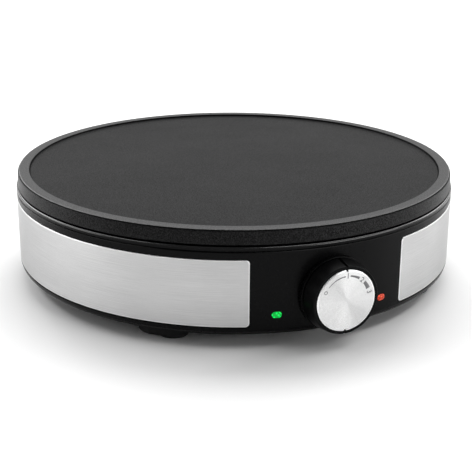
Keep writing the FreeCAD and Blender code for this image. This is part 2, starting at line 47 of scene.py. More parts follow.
# ---------------------------------------------------------------- sizes (mm), as built
RIM_Z, PLATE_R, RECESS_R, RECESS_DEPTH = 78.5, 155.0, 147.0, 1.5
SKIRT_R, SKIRT_Z, UNDER = 156.5, 68.9, 73.0
RING_R, RING_TOP, RING_SEAT = 157.45, 67.9, 64.6
BODY_R, BODY_RI = 157.3, 154.7
PANEL_R, PANEL_T, PANEL_Z0, PANEL_Z1, PANEL_EDGE, PANEL_CORNER = 157.4, 0.8, 15.35, 59.65, 19.79, 2.6
KNOB_Z, KNOB_FACE, KNOB_BACK, DISC_R = 34.4, 173.4, 162.2, 19.95
LAMP_AZ, LAMP_Z, LAMP_W, LAMP_H = 13.6, 23.0, 6.25, 4.2
FOOT_AZ, FOOT_PCR, FOOT_R, FOOT_H = (39.7, 140.3, -140.3, -39.7), 136.5, 9.8, 3.3


# ------------------------------------------------------------------------ mesh helpers
def mesh_object(name, verts, faces, smooth=True):
    me = bpy.data.meshes.new(name)
    me.from_pydata([(x * MM, y * MM, z * MM) for x, y, z in verts], [], faces)
    me.validate()
    bm = bmesh.new()
    bm.from_mesh(me)
    bmesh.ops.recalc_face_normals(bm, faces=bm.faces)
    bm.to_mesh(me)
    bm.free()
    for p in me.polygons:
        p.use_smooth = smooth
    o = bpy.data.objects.new(name, me)
    bpy.context.scene.collection.objects.link(o)
    return o


def rounded(points, radii, steps=4, support=0.12):
    """Closed profile with each corner turned into an arc, and a supporting point on either side of it."""
    out = []
    n = len(points)
    for i in range(n):
        p = Vector(points[i])
        a = Vector(points[i - 1]) - p
        b = Vector(points[(i + 1) % n]) - p
        r = radii[i] if isinstance(radii, (list, tuple)) else radii
        ang = a.angle(b) if a.length > 1e-9 and b.length > 1e-9 else math.pi
        if r <= 0 or abs(math.pi - ang) < 0.02 or min(p.x, 1) <= 0:
            out.append(tuple(p))
            continue
        d = min(r / math.tan(ang / 2), 0.42 * a.length, 0.42 * b.length)
        r = d * math.tan(ang / 2)
        a.normalize()
        b.normalize()
        t0, t1 = p + a * d, p + b * d
        c = p + (a + b).normalized() * (r / math.sin(ang / 2))
        v0, v1 = t0 - c, t1 - c
        full = v0.angle(v1)
        sgn = 1 if v0.x * v1.y - v0.y * v1.x > 0 else -1
        s = min(support, 0.3 * d)
        out.append(tuple(t0 + a * s))
        for k in range(steps + 1):
            th = sgn * full * k / steps
            q = Vector((v0.x * math.cos(th) - v0.y * math.sin(th), v0.x * math.sin(th) + v0.y * math.cos(th)))
            out.append(tuple(c + q))
        out.append(tuple(t1 + b * s))
    return out


def lathe_z(profile, segs=288, centre=(0.0, 0.0)):
    """Vertices and faces of a closed (r, z) profile turned about a vertical axis."""
    verts, faces, rows = [], [], []
    for k in range(segs):
        a = 2 * math.pi * k / segs
        row = []
        for r, z in profile:
            row.append(len(verts))
            verts.append((centre[0] + r * math.cos(a), centre[1] + r * math.sin(a), z))
        rows.append(row)
    n = len(profile)
    for k in range(segs):
        r0, r1 = rows[k], rows[(k + 1) % segs]
        for i in range(n):
            j = (i + 1) % n
            if profile[i][0] < 1e-6 and profile[j][0] < 1e-6:
                continue
            faces.append((r0[i], r1[i], r1[j], r0[j]))
    return verts, faces


def weld(o, dist=1e-7):
    bm = bmesh.new()
    bm.from_mesh(o.data)
    bmesh.ops.remove_doubles(bm, verts=bm.verts, dist=dist)
    bmesh.ops.dissolve_degenerate(bm, edges=bm.edges, dist=dist)
    bmesh.ops.recalc_face_normals(bm, faces=bm.faces)
    bm.to_mesh(o.data)
    bm.free()
    for p in o.data.polygons:
        p.use_smooth = True
    return o


def merge(lists):
    verts, faces = [], []
    for v, f in lists:
        off = len(verts)
        verts += v
        faces += [tuple(i + off for i in face) for face in f]
    return verts, faces


def lathe_knob(profile, angles, groove=None):
    """Closed (t, rho) profile turned about the knob axis; groove(angle, t, rho) may pull a radius in."""
    verts, faces = [], []
    n = len(profile)
    for a in angles:
        for t, rho in profile:
            r = groove(a, t, rho) if groove else rho
            verts.append((r * math.sin(a), -t, KNOB_Z + r * math.cos(a)))
    m = len(angles)
    for k in range(m):
        k2 = (k + 1) % m
        for i in range(n):
            j = (i + 1) % n
            if profile[i][1] < 1e-6 and profile[j][1] < 1e-6:
                continue
            faces.append((k * n + i, k2 * n + i, k2 * n + j, k * n + j))
    return verts, faces


def finish_piece(o, body, mats, slot, *replaced):
    for m in (mats if isinstance(mats, (list, tuple)) else [mats]):
        o.data.materials.append(m)
    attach(o, body)
    if replaced:
        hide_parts(*replaced)
    return o


# -------------------------------------------------------------------- material helpers
class Mat:
    def __init__(self, name):
        self.m = bpy.data.materials.new(name)
        self.m.use_nodes = True
        self.t = self.m.node_tree
        self.b = self.t.nodes["Principled BSDF"]
        self.out = self.t.nodes["Material Output"]

    def n(self, kind, **props):
        x = self.t.nodes.new(kind)
        for k, v in props.items():
            setattr(x, k, v)
        return x

    def link(self, a, b):
        self.t.links.new(a, b)

    def math(self, op, a, b=None, clamp=False):
        x = self.n("ShaderNodeMath", operation=op, use_clamp=clamp)
        for i, v in enumerate((a, b)):
            if v is None:
                continue
            if isinstance(v, (int, float)):
                x.inputs[i].default_value = v
            else:
                self.link(v, x.inputs[i])
        return x.outputs[0]

    def coords(self):
        if not hasattr(self, "_co"):
            self._co = self.n("ShaderNodeTexCoord").outputs["Object"]
        return self._co

    def noise(self, scale, detail=3.0, rough=0.55, vec=None, dist=0.0):
        x = self.n("ShaderNodeTexNoise")
        x.inputs["Scale"].default_value = scale
        x.inputs["Detail"].default_value = detail
        x.inputs["Roughness"].default_value = rough
        x.inputs["Distortion"].default_value = dist
        self.link(vec if vec is not None else self.coords(), x.inputs["Vector"])
        return x.outputs["Fac"]

    def ramp(self, fac, stops):
        x = self.n("ShaderNodeValToRGB")
        els = x.color_ramp.elements
        els[0].position, els[1].position = stops[0][0], stops[-1][0]
        els[0].color = tuple(stops[0][1]) + (1,)
        els[1].color = tuple(stops[-1][1]) + (1,)
        for pos, col in stops[1:-1]:
            e = els.new(pos)
            e.color = tuple(col) + (1,)
        self.link(fac, x.inputs["Fac"])
        return x.outputs["Color"]

    def span(self, fac, lo, hi, a=0.0, b=1.0):
        x = self.n("ShaderNodeMapRange")
        x.inputs["From Min"].default_value = a
        x.inputs["From Max"].default_value = b
        x.inputs["To Min"].default_value = lo
        x.inputs["To Max"].default_value = hi
        self.link(fac, x.inputs["Value"])
        return x.outputs["Result"]

    def bump(self, height, strength, dist, chain=None):
        x = self.n("ShaderNodeBump")
        x.inputs["Strength"].default_value = strength
        x.inputs["Distance"].default_value = dist
        self.link(height, x.inputs["Height"])
        if chain is not None:
            self.link(chain, x.inputs["Normal"])
        return x.outputs["Normal"]

    def normal(self, out):
        self.link(out, self.b.inputs["Normal"])

    def set(self, **kw):
        for k, v in kw.items():
            self.b.inputs[k.replace("_", " ")].default_value = v

    def around(self, along, up, rad=0.157):
        """Coordinates wrapped round the vertical axis: (angle * radius * along, height * up, 0)."""
        s = self.n("ShaderNodeSeparateXYZ")
        self.link(self.coords(), s.inputs[0])
        ang = self.math("ARCTAN2", s.outputs["X"], s.outputs["Y"])
        u = self.math("MULTIPLY", ang, rad * along)
        v = self.math("MULTIPLY", s.outputs["Z"], up)
        c = self.n("ShaderNodeCombineXYZ")
        self.link(u, c.inputs[0])
        self.link(v, c.inputs[1])
        return c.outputs[0]


def black_plastic(name, base, rough_lo, rough_hi, spec, grain=0.10, grain_scale=2600.0):
    """Moulded black plastic: fine moulded grain, soft cloudy gloss, a little dust tone."""
    m = Mat(name)
    cloud = m.noise(9.0, 4.0, 0.6)
    fine = m.noise(grain_scale, 2.0, 0.5)
    dust = m.noise(420.0, 3.0, 0.6)
    m.link(m.ramp(cloud, [(0.3, [c * 0.85 for c in base]), (0.7, [c * 1.2 for c in base])]), m.b.inputs["Base Color"])
    mixed = m.math("ADD", m.math("MULTIPLY", cloud, 0.6), m.math("MULTIPLY", dust, 0.4))
    m.link(m.span(mixed, rough_lo, rough_hi, 0.3, 0.7), m.b.inputs["Roughness"])
    m.set(Specular_IOR_Level=spec)
    m.normal(m.bump(fine, grain, 0.00004))
    return m


# ----------------------------------------------------------------------- the materials
# fine-grained non-stick coating
def make_coating(name, turned):
    m = Mat(name)
    grain = m.noise(1400.0, 2.5, 0.65)
    cloud = m.noise(14.0, 4.0, 0.6)
    s = m.n("ShaderNodeSeparateXYZ")
    m.link(m.coords(), s.inputs[0])
    x2 = m.math("MULTIPLY", s.outputs["X"], s.outputs["X"])
    y2 = m.math("MULTIPLY", s.outputs["Y"], s.outputs["Y"])
    r = m.math("SQRT", m.math("ADD", x2, y2))
    inner = m.span(r, 1.0, 0.0, 146.6 * MM, 147.6 * MM)
    rim = m.math("MULTIPLY", m.span(s.outputs["Z"], 0.0, 1.0, 78.15 * MM, 78.35 * MM), m.math("SUBTRACT", 1.0, inner))
    sheen = m.math("SUBTRACT", m.math("ADD", 1.15, m.math("MULTIPLY", rim, 2.6)), m.math("MULTIPLY", inner, 0.57))
    # painted shade: the sheen is cut down on the recess's wall, so it reads as a dark line between the flats on either
    # side of it
    wall = m.math("MULTIPLY", m.span(r, 0.0, 0.82, 146.8 * MM, 147.1 * MM), m.span(r, 1.0, 0.0, 147.8 * MM, 148.2 * MM))
    sheen = m.math("MULTIPLY", sheen, m.math("SUBTRACT", 1.0, wall))
    # painted shade: the sheen is cut down on the narrow step under the rim's outer edge too, for a dark line there
    rim_step_painted_shade = m.math("MULTIPLY", m.span(s.outputs["Z"], 0.0, 0.9, 77.45 * MM, 77.60 * MM), m.span(s.outputs["Z"], 1.0, 0.0, 78.12 * MM, 78.26 * MM))
    sheen = m.math("MULTIPLY", sheen, m.math("SUBTRACT", 1.0, rim_step_painted_shade))
    m.link(m.ramp(grain, [(0.36, (0.0012, 0.0012, 0.0013)), (0.52, (0.004, 0.004, 0.0042)), (0.68, (0.014, 0.014, 0.0145))]),
           m.b.inputs["Base Color"])
    m.link(m.span(cloud, 0.38, 0.44, 0.3, 0.7), m.b.inputs["Roughness"])
    m.link(m.math("MULTIPLY", m.span(grain, 0.05, 0.21, 0.35, 0.65), sheen), m.b.inputs["Specular IOR Level"])
    nrm = m.bump(grain, 0.30, 0.00010)
    if turned:
        c = m.n("ShaderNodeCombineXYZ")
        m.link(r, c.inputs[0])
        rings = m.noise(1400.0, 2.0, 0.5, c.outputs[0])
        nrm = m.bump(rings, 0.10, 0.00005, nrm)
    m.normal(nrm)
    return m


coating = make_coating("nonstick_coating", True)
trim = black_plastic("black_trim_gloss", (0.0022, 0.0022, 0.0024), 0.20, 0.28, 0.05, 0.05)
# painted highlight: the bead along the trim's upper edge gets more specular and a coat than the satin wall below it, so
# the lights draw a bright line there
_s = trim.n("ShaderNodeSeparateXYZ")
trim.link(trim.coords(), _s.inputs[0])
_r = trim.math("SQRT", trim.math("ADD", trim.math("MULTIPLY", _s.outputs["X"], _s.outputs["X"]),
                                trim.math("MULTIPLY", _s.outputs["Y"], _s.outputs["Y"])))
_bead_highlight_band = trim.math("MULTIPLY", trim.span(_s.outputs["Z"], 0.0, 1.0, 66.7 * MM, 67.0 * MM),
                  trim.span(_r, 0.0, 1.0, 156.55 * MM, 156.85 * MM))
trim.link(trim.span(_bead_highlight_band, 0.08, 0.45), trim.b.inputs["Specular IOR Level"])
trim.link(trim.span(_bead_highlight_band, 0.0, 0.30), trim.b.inputs["Coat Weight"])
trim.set(Coat_IOR=1.9, Coat_Roughness=0.18)
housing_mat = black_plastic("black_housing_satin", (0.0030, 0.0030, 0.0032), 0.22, 0.34, 0.07, 0.08)
knob_mat = black_plastic("black_knob_satin", (0.0026, 0.0026, 0.0028), 0.26, 0.38, 0.06, 0.10)
under_mat = black_plastic("black_underside_grain", (0.006, 0.006, 0.0062), 0.50, 0.66, 0.15, 0.35, 1500.0)


def brushed_panel():
    """Stainless sheet brushed along its length: streaks run round the body."""
    m = Mat("brushed_stainless")
    long_streak = m.noise(1.0, 4.0, 0.65, m.around(16.0, 5200.0))
    fine_streak = m.noise(1.0, 3.0, 0.6, m.around(90.0, 14000.0))
    cloud = m.noise(1.0, 3.0, 0.5, m.around(9.0, 22.0))
    mix = m.math("ADD", m.math("MULTIPLY", long_streak, 0.55), m.math("MULTIPLY", fine_streak, 0.45))
    tone = m.math("ADD", m.math("MULTIPLY", mix, 0.8), m.math("MULTIPLY", cloud, 0.2))
    sheet = m.ramp(tone, [(0.37, (0.44, 0.44, 0.442)), (0.5, (0.565, 0.565, 0.565)), (0.63, (0.69, 0.69, 0.688))])
    # painted highlight: the base colour is pushed towards white along the panel's turned edge
    edge = m.n("ShaderNodeAttribute", attribute_name="edge")
    mx = m.n("ShaderNodeMix", data_type="RGBA")
    m.link(m.math("MULTIPLY", edge.outputs["Fac"], 0.62), mx.inputs["Factor"])
    m.link(sheet, mx.inputs["A"])
    mx.inputs["B"].default_value = (0.95, 0.95, 0.95, 1)
    m.link(mx.outputs["Result"], m.b.inputs["Base Color"])
    m.link(m.span(mix, 0.26, 0.42, 0.3, 0.7), m.b.inputs["Roughness"])
    m.set(Metallic=1.0, Anisotropic=0.6, Anisotropic_Rotation=0.25, Specular_Tint=(0.62, 0.62, 0.62, 1))
    tan = m.n("ShaderNodeTangent", direction_type="RADIAL", axis="Z")
    m.link(tan.outputs[0], m.b.inputs["Tangent"])
    m.normal(m.bump(mix, 0.12, 0.00003))
    return m


panel_mat = brushed_panel()


def knob_coords(m):
    """Radius and angle about the knob's axis."""
    s = m.n("ShaderNodeSeparateXYZ")
    m.link(m.coords(), s.inputs[0])
    z = m.math("SUBTRACT", s.outputs["Z"], KNOB_Z * MM)
    r = m.math("SQRT", m.math("ADD", m.math("MULTIPLY", s.outputs["X"], s.outputs["X"]), m.math("MULTIPLY", z, z)))
    a = m.math("ARCTAN2", s.outputs["X"], z)
    return r, a, s.outputs["X"], z


def spun_disc():
    """Circular-brushed disc: fine concentric lines that spread the light in a fan."""
    m = Mat("spun_steel_disc")
    r, a, x, z = knob_coords(m)
    c = m.n("ShaderNodeCombineXYZ")
    m.link(r, c.inputs[0])
    m.link(m.math("MULTIPLY", a, 0.0006), c.inputs[1])
    lines = m.noise(9000.0, 3.0, 0.6, c.outputs[0])
    fan = m.n("ShaderNodeCombineXYZ")
    m.link(m.math("COSINE", a), fan.inputs[0])
    m.link(m.math("SINE", a), fan.inputs[1])
    rays = m.noise(3.4, 3.0, 0.6, fan.outputs[0])
    tone = m.math("ADD", m.math("MULTIPLY", lines, 0.75), m.math("MULTIPLY", rays, 0.25))
    # painted highlight: the base colour is lightened on the bevel round the edge, which is also a little rougher
    bevel_painted_highlight = m.span(r, 0.0, 1.0, 19.12 * MM, 19.24 * MM)
    tone = m.math("ADD", tone, m.math("MULTIPLY", bevel_painted_highlight, 0.6))
    m.link(m.ramp(tone, [(0.30, (0.60, 0.60, 0.60)), (0.5, (0.70, 0.70, 0.70)), (0.70, (0.80, 0.80, 0.80)), (0.95, (0.98, 0.98, 0.98))]),
           m.b.inputs["Base Color"])
    m.link(m.math("ADD", m.span(lines, 0.24, 0.36, 0.3, 0.7), m.math("MULTIPLY", bevel_painted_highlight, 0.06)), m.b.inputs["Roughness"])
    m.set(Metallic=1.0, Anisotropic=0.92)
    t = m.n("ShaderNodeCombineXYZ")
    m.link(x, t.inputs[0])
    m.link(z, t.inputs[2])
    nz = m.n("ShaderNodeVectorMath", operation="NORMALIZE")
    m.link(t.outputs[0], nz.inputs[0])
    m.link(nz.outputs[0], m.b.inputs["Tangent"])
    m.normal(m.bump(lines, 0.10, 0.00002))
    return m


disc_mat = spun_disc()


def metal(name, col, rough, aniso=0.0, scale=300.0, spread=0.12, bump=0.15):
    m = Mat(name)
    a = m.noise(scale, 4.0, 0.6)
    b = m.noise(22.0, 3.0, 0.5)
    mix = m.math("ADD", m.math("MULTIPLY", a, 0.5), m.math("MULTIPLY", b, 0.5))
    m.link(m.ramp(mix, [(0.3, [c * (1 - spread) for c in col]), (0.7, [min(1, c * (1 + spread)) for c in col])]),
           m.b.inputs["Base Color"])
    m.link(m.span(mix, rough * 0.8, rough * 1.25, 0.3, 0.7), m.b.inputs["Roughness"])
    m.set(Metallic=1.0, Anisotropic=aniso)
    m.normal(m.bump(a, bump, 0.00004))
    return m


def plain(name, col, rough, spec=0.4, scale=500.0, spread=0.15, bump=0.2):
    m = Mat(name)
    a = m.noise(scale, 4.0, 0.6)
    b = m.noise(26.0, 3.0, 0.5)
    mix = m.math("ADD", m.math("MULTIPLY", a, 0.4), m.math("MULTIPLY", b, 0.6))
    m.link(m.ramp(mix, [(0.3, [c * (1 - spread) for c in col]), (0.7, [min(1, c * (1 + spread)) for c in col])]),
           m.b.inputs["Base Color"])
    m.link(m.span(mix, rough * 0.85, min(1.0, rough * 1.2), 0.3, 0.7), m.b.inputs["Roughness"])
    m.set(Specular_IOR_Level=spec)
    m.normal(m.bump(a, bump, 0.00005))
    return m


def earth_lead():
    """Green insulation with a yellow stripe."""
    m = Mat("lead_green_yellow")
    w = m.n("ShaderNodeTexWave", bands_direction="DIAGONAL")
    w.inputs["Scale"].default_value = 180.0
    m.link(m.coords(), w.inputs["Vector"])
    m.link(m.ramp(w.outputs["Fac"], [(0.52, (0.03, 0.22, 0.05)), (0.58, (0.62, 0.52, 0.03))]), m.b.inputs["Base Color"])
    m.set(Roughness=0.45)
    m.normal(m.bump(m.noise(700.0), 0.15, 0.00004))
    return m


def lens(name, deep, bright, glow, strength):
    """Signal lens: saturated clear plastic with pressed facets and the lamp glowing behind it."""
    m = Mat(name)
    v = m.n("ShaderNodeTexVoronoi")
    v.inputs["Scale"].default_value = 620.0
    m.link(m.coords(), v.inputs["Vector"])
    n = m.noise(330.0, 3.0, 0.6)
    f = m.math("ADD", m.math("MULTIPLY", v.outputs["Distance"], 0.75), m.math("MULTIPLY", n, 0.55))
    m.link(m.ramp(f, [(0.35, bright), (0.75, deep)]), m.b.inputs["Base Color"])
    m.link(m.ramp(f, [(0.34, glow), (0.76, [c * 0.30 for c in glow])]), m.b.inputs["Emission Color"])
    m.set(Emission_Strength=strength, Roughness=0.12, Specular_IOR_Level=0.25)
    m.normal(m.bump(v.outputs["Distance"], 0.4, 0.00012))
    return m


slot_mat = {
    "nonstick_plate": coating, "black_trim": trim, "black_housing": housing_mat, "black_knob": knob_mat,
    "spun_steel": disc_mat, "brushed_panel": panel_mat, "black_underside": under_mat,
    "rubber": plain("foot_rubber", (0.012, 0.012, 0.012), 0.72, 0.3, 900.0, 0.25, 0.45),
    "lens_green": lens("signal_green", (0.0, 0.03, 0.008), (0.0, 0.16, 0.03), (0.0, 0.95, 0.11), 1.45),
    "lens_red": lens("signal_red", (0.05, 0.004, 0.0), (0.20, 0.03, 0.012), (0.95, 0.085, 0.035), 1.22),
    "lamp_glass": plain("neon_glass", (0.75, 0.42, 0.25), 0.1, 0.6),
    "phenolic": plain("phenolic_brown", (0.045, 0.024, 0.012), 0.5),
    "ceramic_white": plain("steatite", (0.70, 0.67, 0.60), 0.62, 0.35, 900.0, 0.08, 0.35),
    "element_sheath": metal("element_sheath", (0.26, 0.22, 0.19), 0.45, 0.0, 260.0, 0.3),
    "shield_aluminium": metal("shield_sheet", (0.72, 0.72, 0.73), 0.38, 0.0, 180.0, 0.08),
    "plated_steel": metal("zinc_plated", (0.58, 0.58, 0.55), 0.35, 0.0, 600.0, 0.14),
    "copper_bulb": metal("drawn_copper", (0.72, 0.36, 0.22), 0.3, 0.0, 400.0, 0.15),
    "brass": metal("stamped_brass", (0.72, 0.55, 0.25), 0.32, 0.0, 500.0, 0.12),
    "lead_brown": plain("lead_brown", (0.13, 0.05, 0.02), 0.42),
    "lead_blue": plain("lead_blue", (0.02, 0.09, 0.38), 0.42),
    "lead_earth": earth_lead(),
    "lead_white": plain("lead_sleeve_white", (0.72, 0.72, 0.70), 0.7, 0.3, 1200.0, 0.1, 0.5),
}
for entry in frame["record"]["subparts"]:
    o = nodes[entry["node"]]
    mat = slot_mat[entry["material_slot"]]
    mat = mat.m if isinstance(mat, Mat) else mat
    if o.data.materials:
        o.data.materials[0] = mat
    else:
        o.data.materials.append(mat)
slot_mat = {k: (v.m if isinstance(v, Mat) else v) for k, v in slot_mat.items()}

# ---------------------------------------------------------------------- cooking plate
plate_profile = rounded([
    (0, 77.0), (RECESS_R, 77.0), (RECESS_R + 0.9, RIM_Z - 0.05), (RECESS_R + 3.0, RIM_Z), (PLATE_R - 0.45, RIM_Z - 0.04),
    (PLATE_R + 0.15, RIM_Z - 0.28), (PLATE_R + 0.22, RIM_Z - 0.88), (PLATE_R + 0.60, RIM_Z - 0.95), (PLATE_R + 0.86, RIM_Z - 1.35),
    (SKIRT_R, SKIRT_Z + 0.2), (SKIRT_R - 0.3, SKIRT_Z), (PLATE_R - 1.6, SKIRT_Z), (PLATE_R - 3.2, UNDER),
    (113, UNDER), (113, 67.0), (109.15, 67.0), (107.9, 70.0), (105, 71.0), (102.1, 70.0), (100.85, 67.0),
    (97, 67.0), (97, UNDER), (0, UNDER)],
    [0, 0.5, 0.4, 1.5, 0.3, 0.12, 0.08, 0.12, 0.25, 0.6, 0.25, 0.3, 1.2, 1.0, 0.4, 0.2, 0.6, 2.0, 0.6, 0.2, 0.4, 1.0, 0])
plate_parts = [lathe_z(plate_profile, 360)]
for az in (45, 135, 225, 315):
    a = math.radians(az)
    plate_parts.append(lathe_z(rounded([(2.52, 60.0), (7.0, 60.0), (7.3, UNDER + 0.4), (2.52, UNDER + 0.4)], [0.2, 0.4, 0, 0]),
                               40, (128.0 * math.sin(a), -128.0 * math.cos(a))))
plate = weld(mesh_object("plate_cast", *merge(plate_parts)))
finish_piece(plate, "base", slot_mat["nonstick_plate"], "nonstick_plate", "cooking_plate")

# -------------------------------------------------------------------------- trim ring
ring_profile = rounded([
    (151.0, RING_TOP), (RING_R, RING_TOP), (RING_R - 0.2, RING_SEAT + 0.6), (RING_R - 1.2, RING_SEAT + 0.6),
    (RING_R - 1.2, RING_SEAT), (BODY_RI - 0.3, RING_SEAT),
    (BODY_RI - 0.3, 60.2), (BODY_RI - 1.9, 60.2), (BODY_RI - 1.9, RING_SEAT), (151.0, RING_SEAT + 0.8)],
    [0.2, 1.15, 0.3, 0.15, 0.15, 0.2, 0.3, 0.3, 0.2, 0.2], 2)
ring = weld(mesh_object("trim_ring", *lathe_z(ring_profile, 360)))
finish_piece(ring, "base", slot_mat["black_trim"], "black_trim", "base_ring")


# ------------------------------------------------------------------------ steel panels
def panel(name, side, node):
    """Curved sheet with rounded corners and a turned edge whose vertices carry a painted highlight; columns run round
    the body.
    """
    half = math.radians(90 - PANEL_EDGE)
    rows, cols = 14, 132

    def grid(radius, inset):
        half_len = half * PANEL_R - inset
        z0, z1 = PANEL_Z0 + inset, PANEL_Z1 - inset
        rc = PANEL_CORNER - inset * 0.6
        svals = []
        for k in range(9):
            svals.append(-half_len + rc * (1 - math.cos(math.pi / 2 * k / 8)))
        inner = cols - 16
        for k in range(1, inner):
            svals.append(-half_len + rc + (2 * half_len - 2 * rc) * k / inner)
        for k in range(9):
            svals.append(half_len - rc * (1 - math.cos(math.pi / 2 * (8 - k) / 8)))
        pts = []
        for s in svals:
            d = max(0.0, rc - (half_len - abs(s)))
            cut = rc - math.sqrt(max(0.0, rc * rc - d * d))
            col = []
            for j in range(rows + 1):
                z = z0 + cut + (z1 - z0 - 2 * cut) * j / rows
                a = s / PANEL_R
                col.append((side * radius * math.cos(a), radius * math.sin(a), z))
            pts.append(col)
        return pts

    layers = [(PANEL_R - PANEL_T, 0.0), (PANEL_R - 0.42, 0.0), (PANEL_R - 0.22, 0.05), (PANEL_R - 0.07, 0.16),
              (PANEL_R - 0.01, 0.34), (PANEL_R, 0.62), (PANEL_R, 0.85)]
    verts, faces, loops = [], [], []
    grids = [grid(*layers[0])] + [None] * (len(layers) - 2) + [grid(*layers[-1])]
    n_c = len(grids[0])

    def outline(g):
        loop = [g[i][0] for i in range(n_c)]
        loop += [g[n_c - 1][j] for j in range(1, rows + 1)]
        loop += [g[i][rows] for i in range(n_c - 2, -1, -1)]
        loop += [g[0][j] for j in range(rows - 1, 0, -1)]
        return loop

    def add_grid(g):
        ids = []
        for col in g:
            ids.append([])
            for p in col:
                ids[-1].append(len(verts))
                verts.append(p)
        for i in range(n_c - 1):
            for j in range(rows):
                faces.append((ids[i][j], ids[i + 1][j], ids[i + 1][j + 1], ids[i][j + 1]))
        loop = [ids[i][0] for i in range(n_c)] + [ids[n_c - 1][j] for j in range(1, rows + 1)]
        loop += [ids[i][rows] for i in range(n_c - 2, -1, -1)] + [ids[0][j] for j in range(rows - 1, 0, -1)]
        return loop

    loops.append(add_grid(grids[0]))
    for radius, inset in layers[1:-1]:
        start = len(verts)
        ring_pts = outline(grid(radius, inset))
        verts.extend(ring_pts)
        loops.append(list(range(start, start + len(ring_pts))))
    loops.append(add_grid(grids[-1]))
    for a, b in zip(loops, loops[1:]):
        for k in range(len(a)):
            k2 = (k + 1) % len(a)
            faces.append((a[k], a[k2], b[k2], b[k]))
    studs = []
    for az in (45, 90, 135):
        ang = math.radians(az)
        d = Vector((side * math.sin(ang), -math.cos(ang), 0))
        u, w = Vector((d.y, -d.x, 0)), Vector((0, 0, 1))
        sv, sf = [], []
        for t, r in ((PANEL_R - PANEL_T, 0), (PANEL_R - PANEL_T, 1.5), (149.8, 1.5), (149.5, 1.2), (149.5, 0)):
            for k in range(20):
                th = 2 * math.pi * k / 20
                p = d * t + u * (r * math.cos(th)) + w * (50.0 + r * math.sin(th))
                sv.append(tuple(p))
        for k in range(20):
            for i in range(4):
                sf.append((i * 20 + k, i * 20 + (k + 1) % 20, (i + 1) * 20 + (k + 1) % 20, (i + 1) * 20 + k))
        studs.append((sv, sf))
    first, last = loops[1][0], loops[-2][-1]
    marks = [Vector(verts[i]) * MM for i in range(first, last + 1)]
    v, f = merge([(verts, faces)] + studs)
    o = weld(mesh_object(name, v, f))
    # the turned edge's vertices are marked for the painted highlight
    attr = o.data.attributes.new("edge", "FLOAT", "POINT")
    keys = {(round(p.x, 6), round(p.y, 6), round(p.z, 6)) for p in marks}
    for k, vert in enumerate(o.data.vertices):
        p = vert.co
        attr.data[k].value = 1.0 if (round(p.x, 6), round(p.y, 6), round(p.z, 6)) in keys else 0.0
    return finish_piece(o, "base", slot_mat["brushed_panel"], "brushed_panel", node)


panel("panel_sheet_right", 1, "steel_panel_right")
panel("panel_sheet_left", -1, "steel_panel_left")

# --------------------------------------------------------------------------- the knob
GROOVE = 0.80
angles = []
for c in (0.0, math.pi):
    w = GROOVE / 22.0
    angles += [c - w * 1.35, c - w * 1.02, c - w * 0.92, c - w * 0.5, c, c + w * 0.5, c + w * 0.92, c + w * 1.02, c + w * 1.35]
lo, hi = GROOVE / 22.0 * 1.35, math.pi - GROOVE / 22.0 * 1.35
for k in range(1, 88):
    a = lo + (hi - lo) * k / 88
    angles += [a, a + math.pi]
angles = sorted(a % (2 * math.pi) for a in angles)


def in_groove(a):
    w = GROOVE / 22.0
    d = min(abs(a), abs(a - math.pi), abs(a - 2 * math.pi))
    return max(0.0, min(1.0, (w * 1.02 - d) / (w * 0.10)))


def body_groove(a, t, rho):
    return rho - in_groove(a) * max(0.0, rho - 21.72) if rho > 21.72 else rho


knob_profile = rounded([
    (KNOB_BACK, 23.9), (170.9, 22.5), (172.9, 22.15), (172.9, DISC_R + 0.1), (172.2, DISC_R + 0.1), (172.2, 0),
    (169.9, 0), (169.9, 20.2), (KNOB_BACK, 21.4)],
    [0.35, 3.0, 0.45, 0.12, 0.05, 0, 0, 0.8, 0.3], 5)
hub_parts = [lathe_knob(knob_profile, angles, body_groove)]
hub = rounded([(161.0, 3.05), (161.0, 6.6), (170.0, 6.9), (170.0, 3.05)], [0.2, 0.4, 0, 0])
hub_parts.append(lathe_knob(hub, [2 * math.pi * k / 48 for k in range(48)]))
for k in range(4):
    a = math.radians(45 + 90 * k)
    dx, dz = math.sin(a), math.cos(a)
    px, pz = math.cos(a), -math.sin(a)
    v = []
    for rho in (6.0, 20.4):
        for s in (-0.8, 0.8):
            for t in (163.4, 170.1):
                v.append((dx * rho + px * s, -t, KNOB_Z + dz * rho + pz * s))
    hub_parts.append((v, [(0, 1, 3, 2), (4, 6, 7, 5), (0, 4, 5, 1), (2, 3, 7, 6), (0, 2, 6, 4), (1, 5, 7, 3)]))
knob = weld(mesh_object("knob_shell", *merge(hub_parts)))
mod = knob.modifiers.new("edges", "EDGE_SPLIT")
mod.split_angle = math.radians(50)
finish_piece(knob, "knob", slot_mat["black_knob"], "black_knob", "knob_body")

DISC_FACE = KNOB_FACE - 0.03
disc_profile = rounded([(172.2, 0), (172.2, DISC_R), (173.05, DISC_R), (DISC_FACE, DISC_R - 0.8), (DISC_FACE, 0)],
                       [0, 0.1, 0.15, 0.12, 0], 3, 0.05)


def disc_groove(a, t, rho):
    return rho - in_groove(a) * max(0.0, rho - 18.9) if rho > 18.9 else rho


disc_face_rows = []
for i, (t, rho) in enumerate(disc_profile):
    disc_face_rows.append((t, rho))
disc = weld(mesh_object("knob_face", *lathe_knob(disc_face_rows, angles, disc_groove)))
mod = disc.modifiers.new("edges", "EDGE_SPLIT")
mod.split_angle = math.radians(24)
finish_piece(disc, "knob", slot_mat["spun_steel"], "spun_steel", "knob_disc")

# printed dial: a growing band from 0 to 3, with plain numbers
ink = plain("dial_ink", (0.20, 0.20, 0.205), 0.55, 0.3, 1500.0, 0.2, 0.1).m
INK_FACE = KNOB_FACE - 0.012


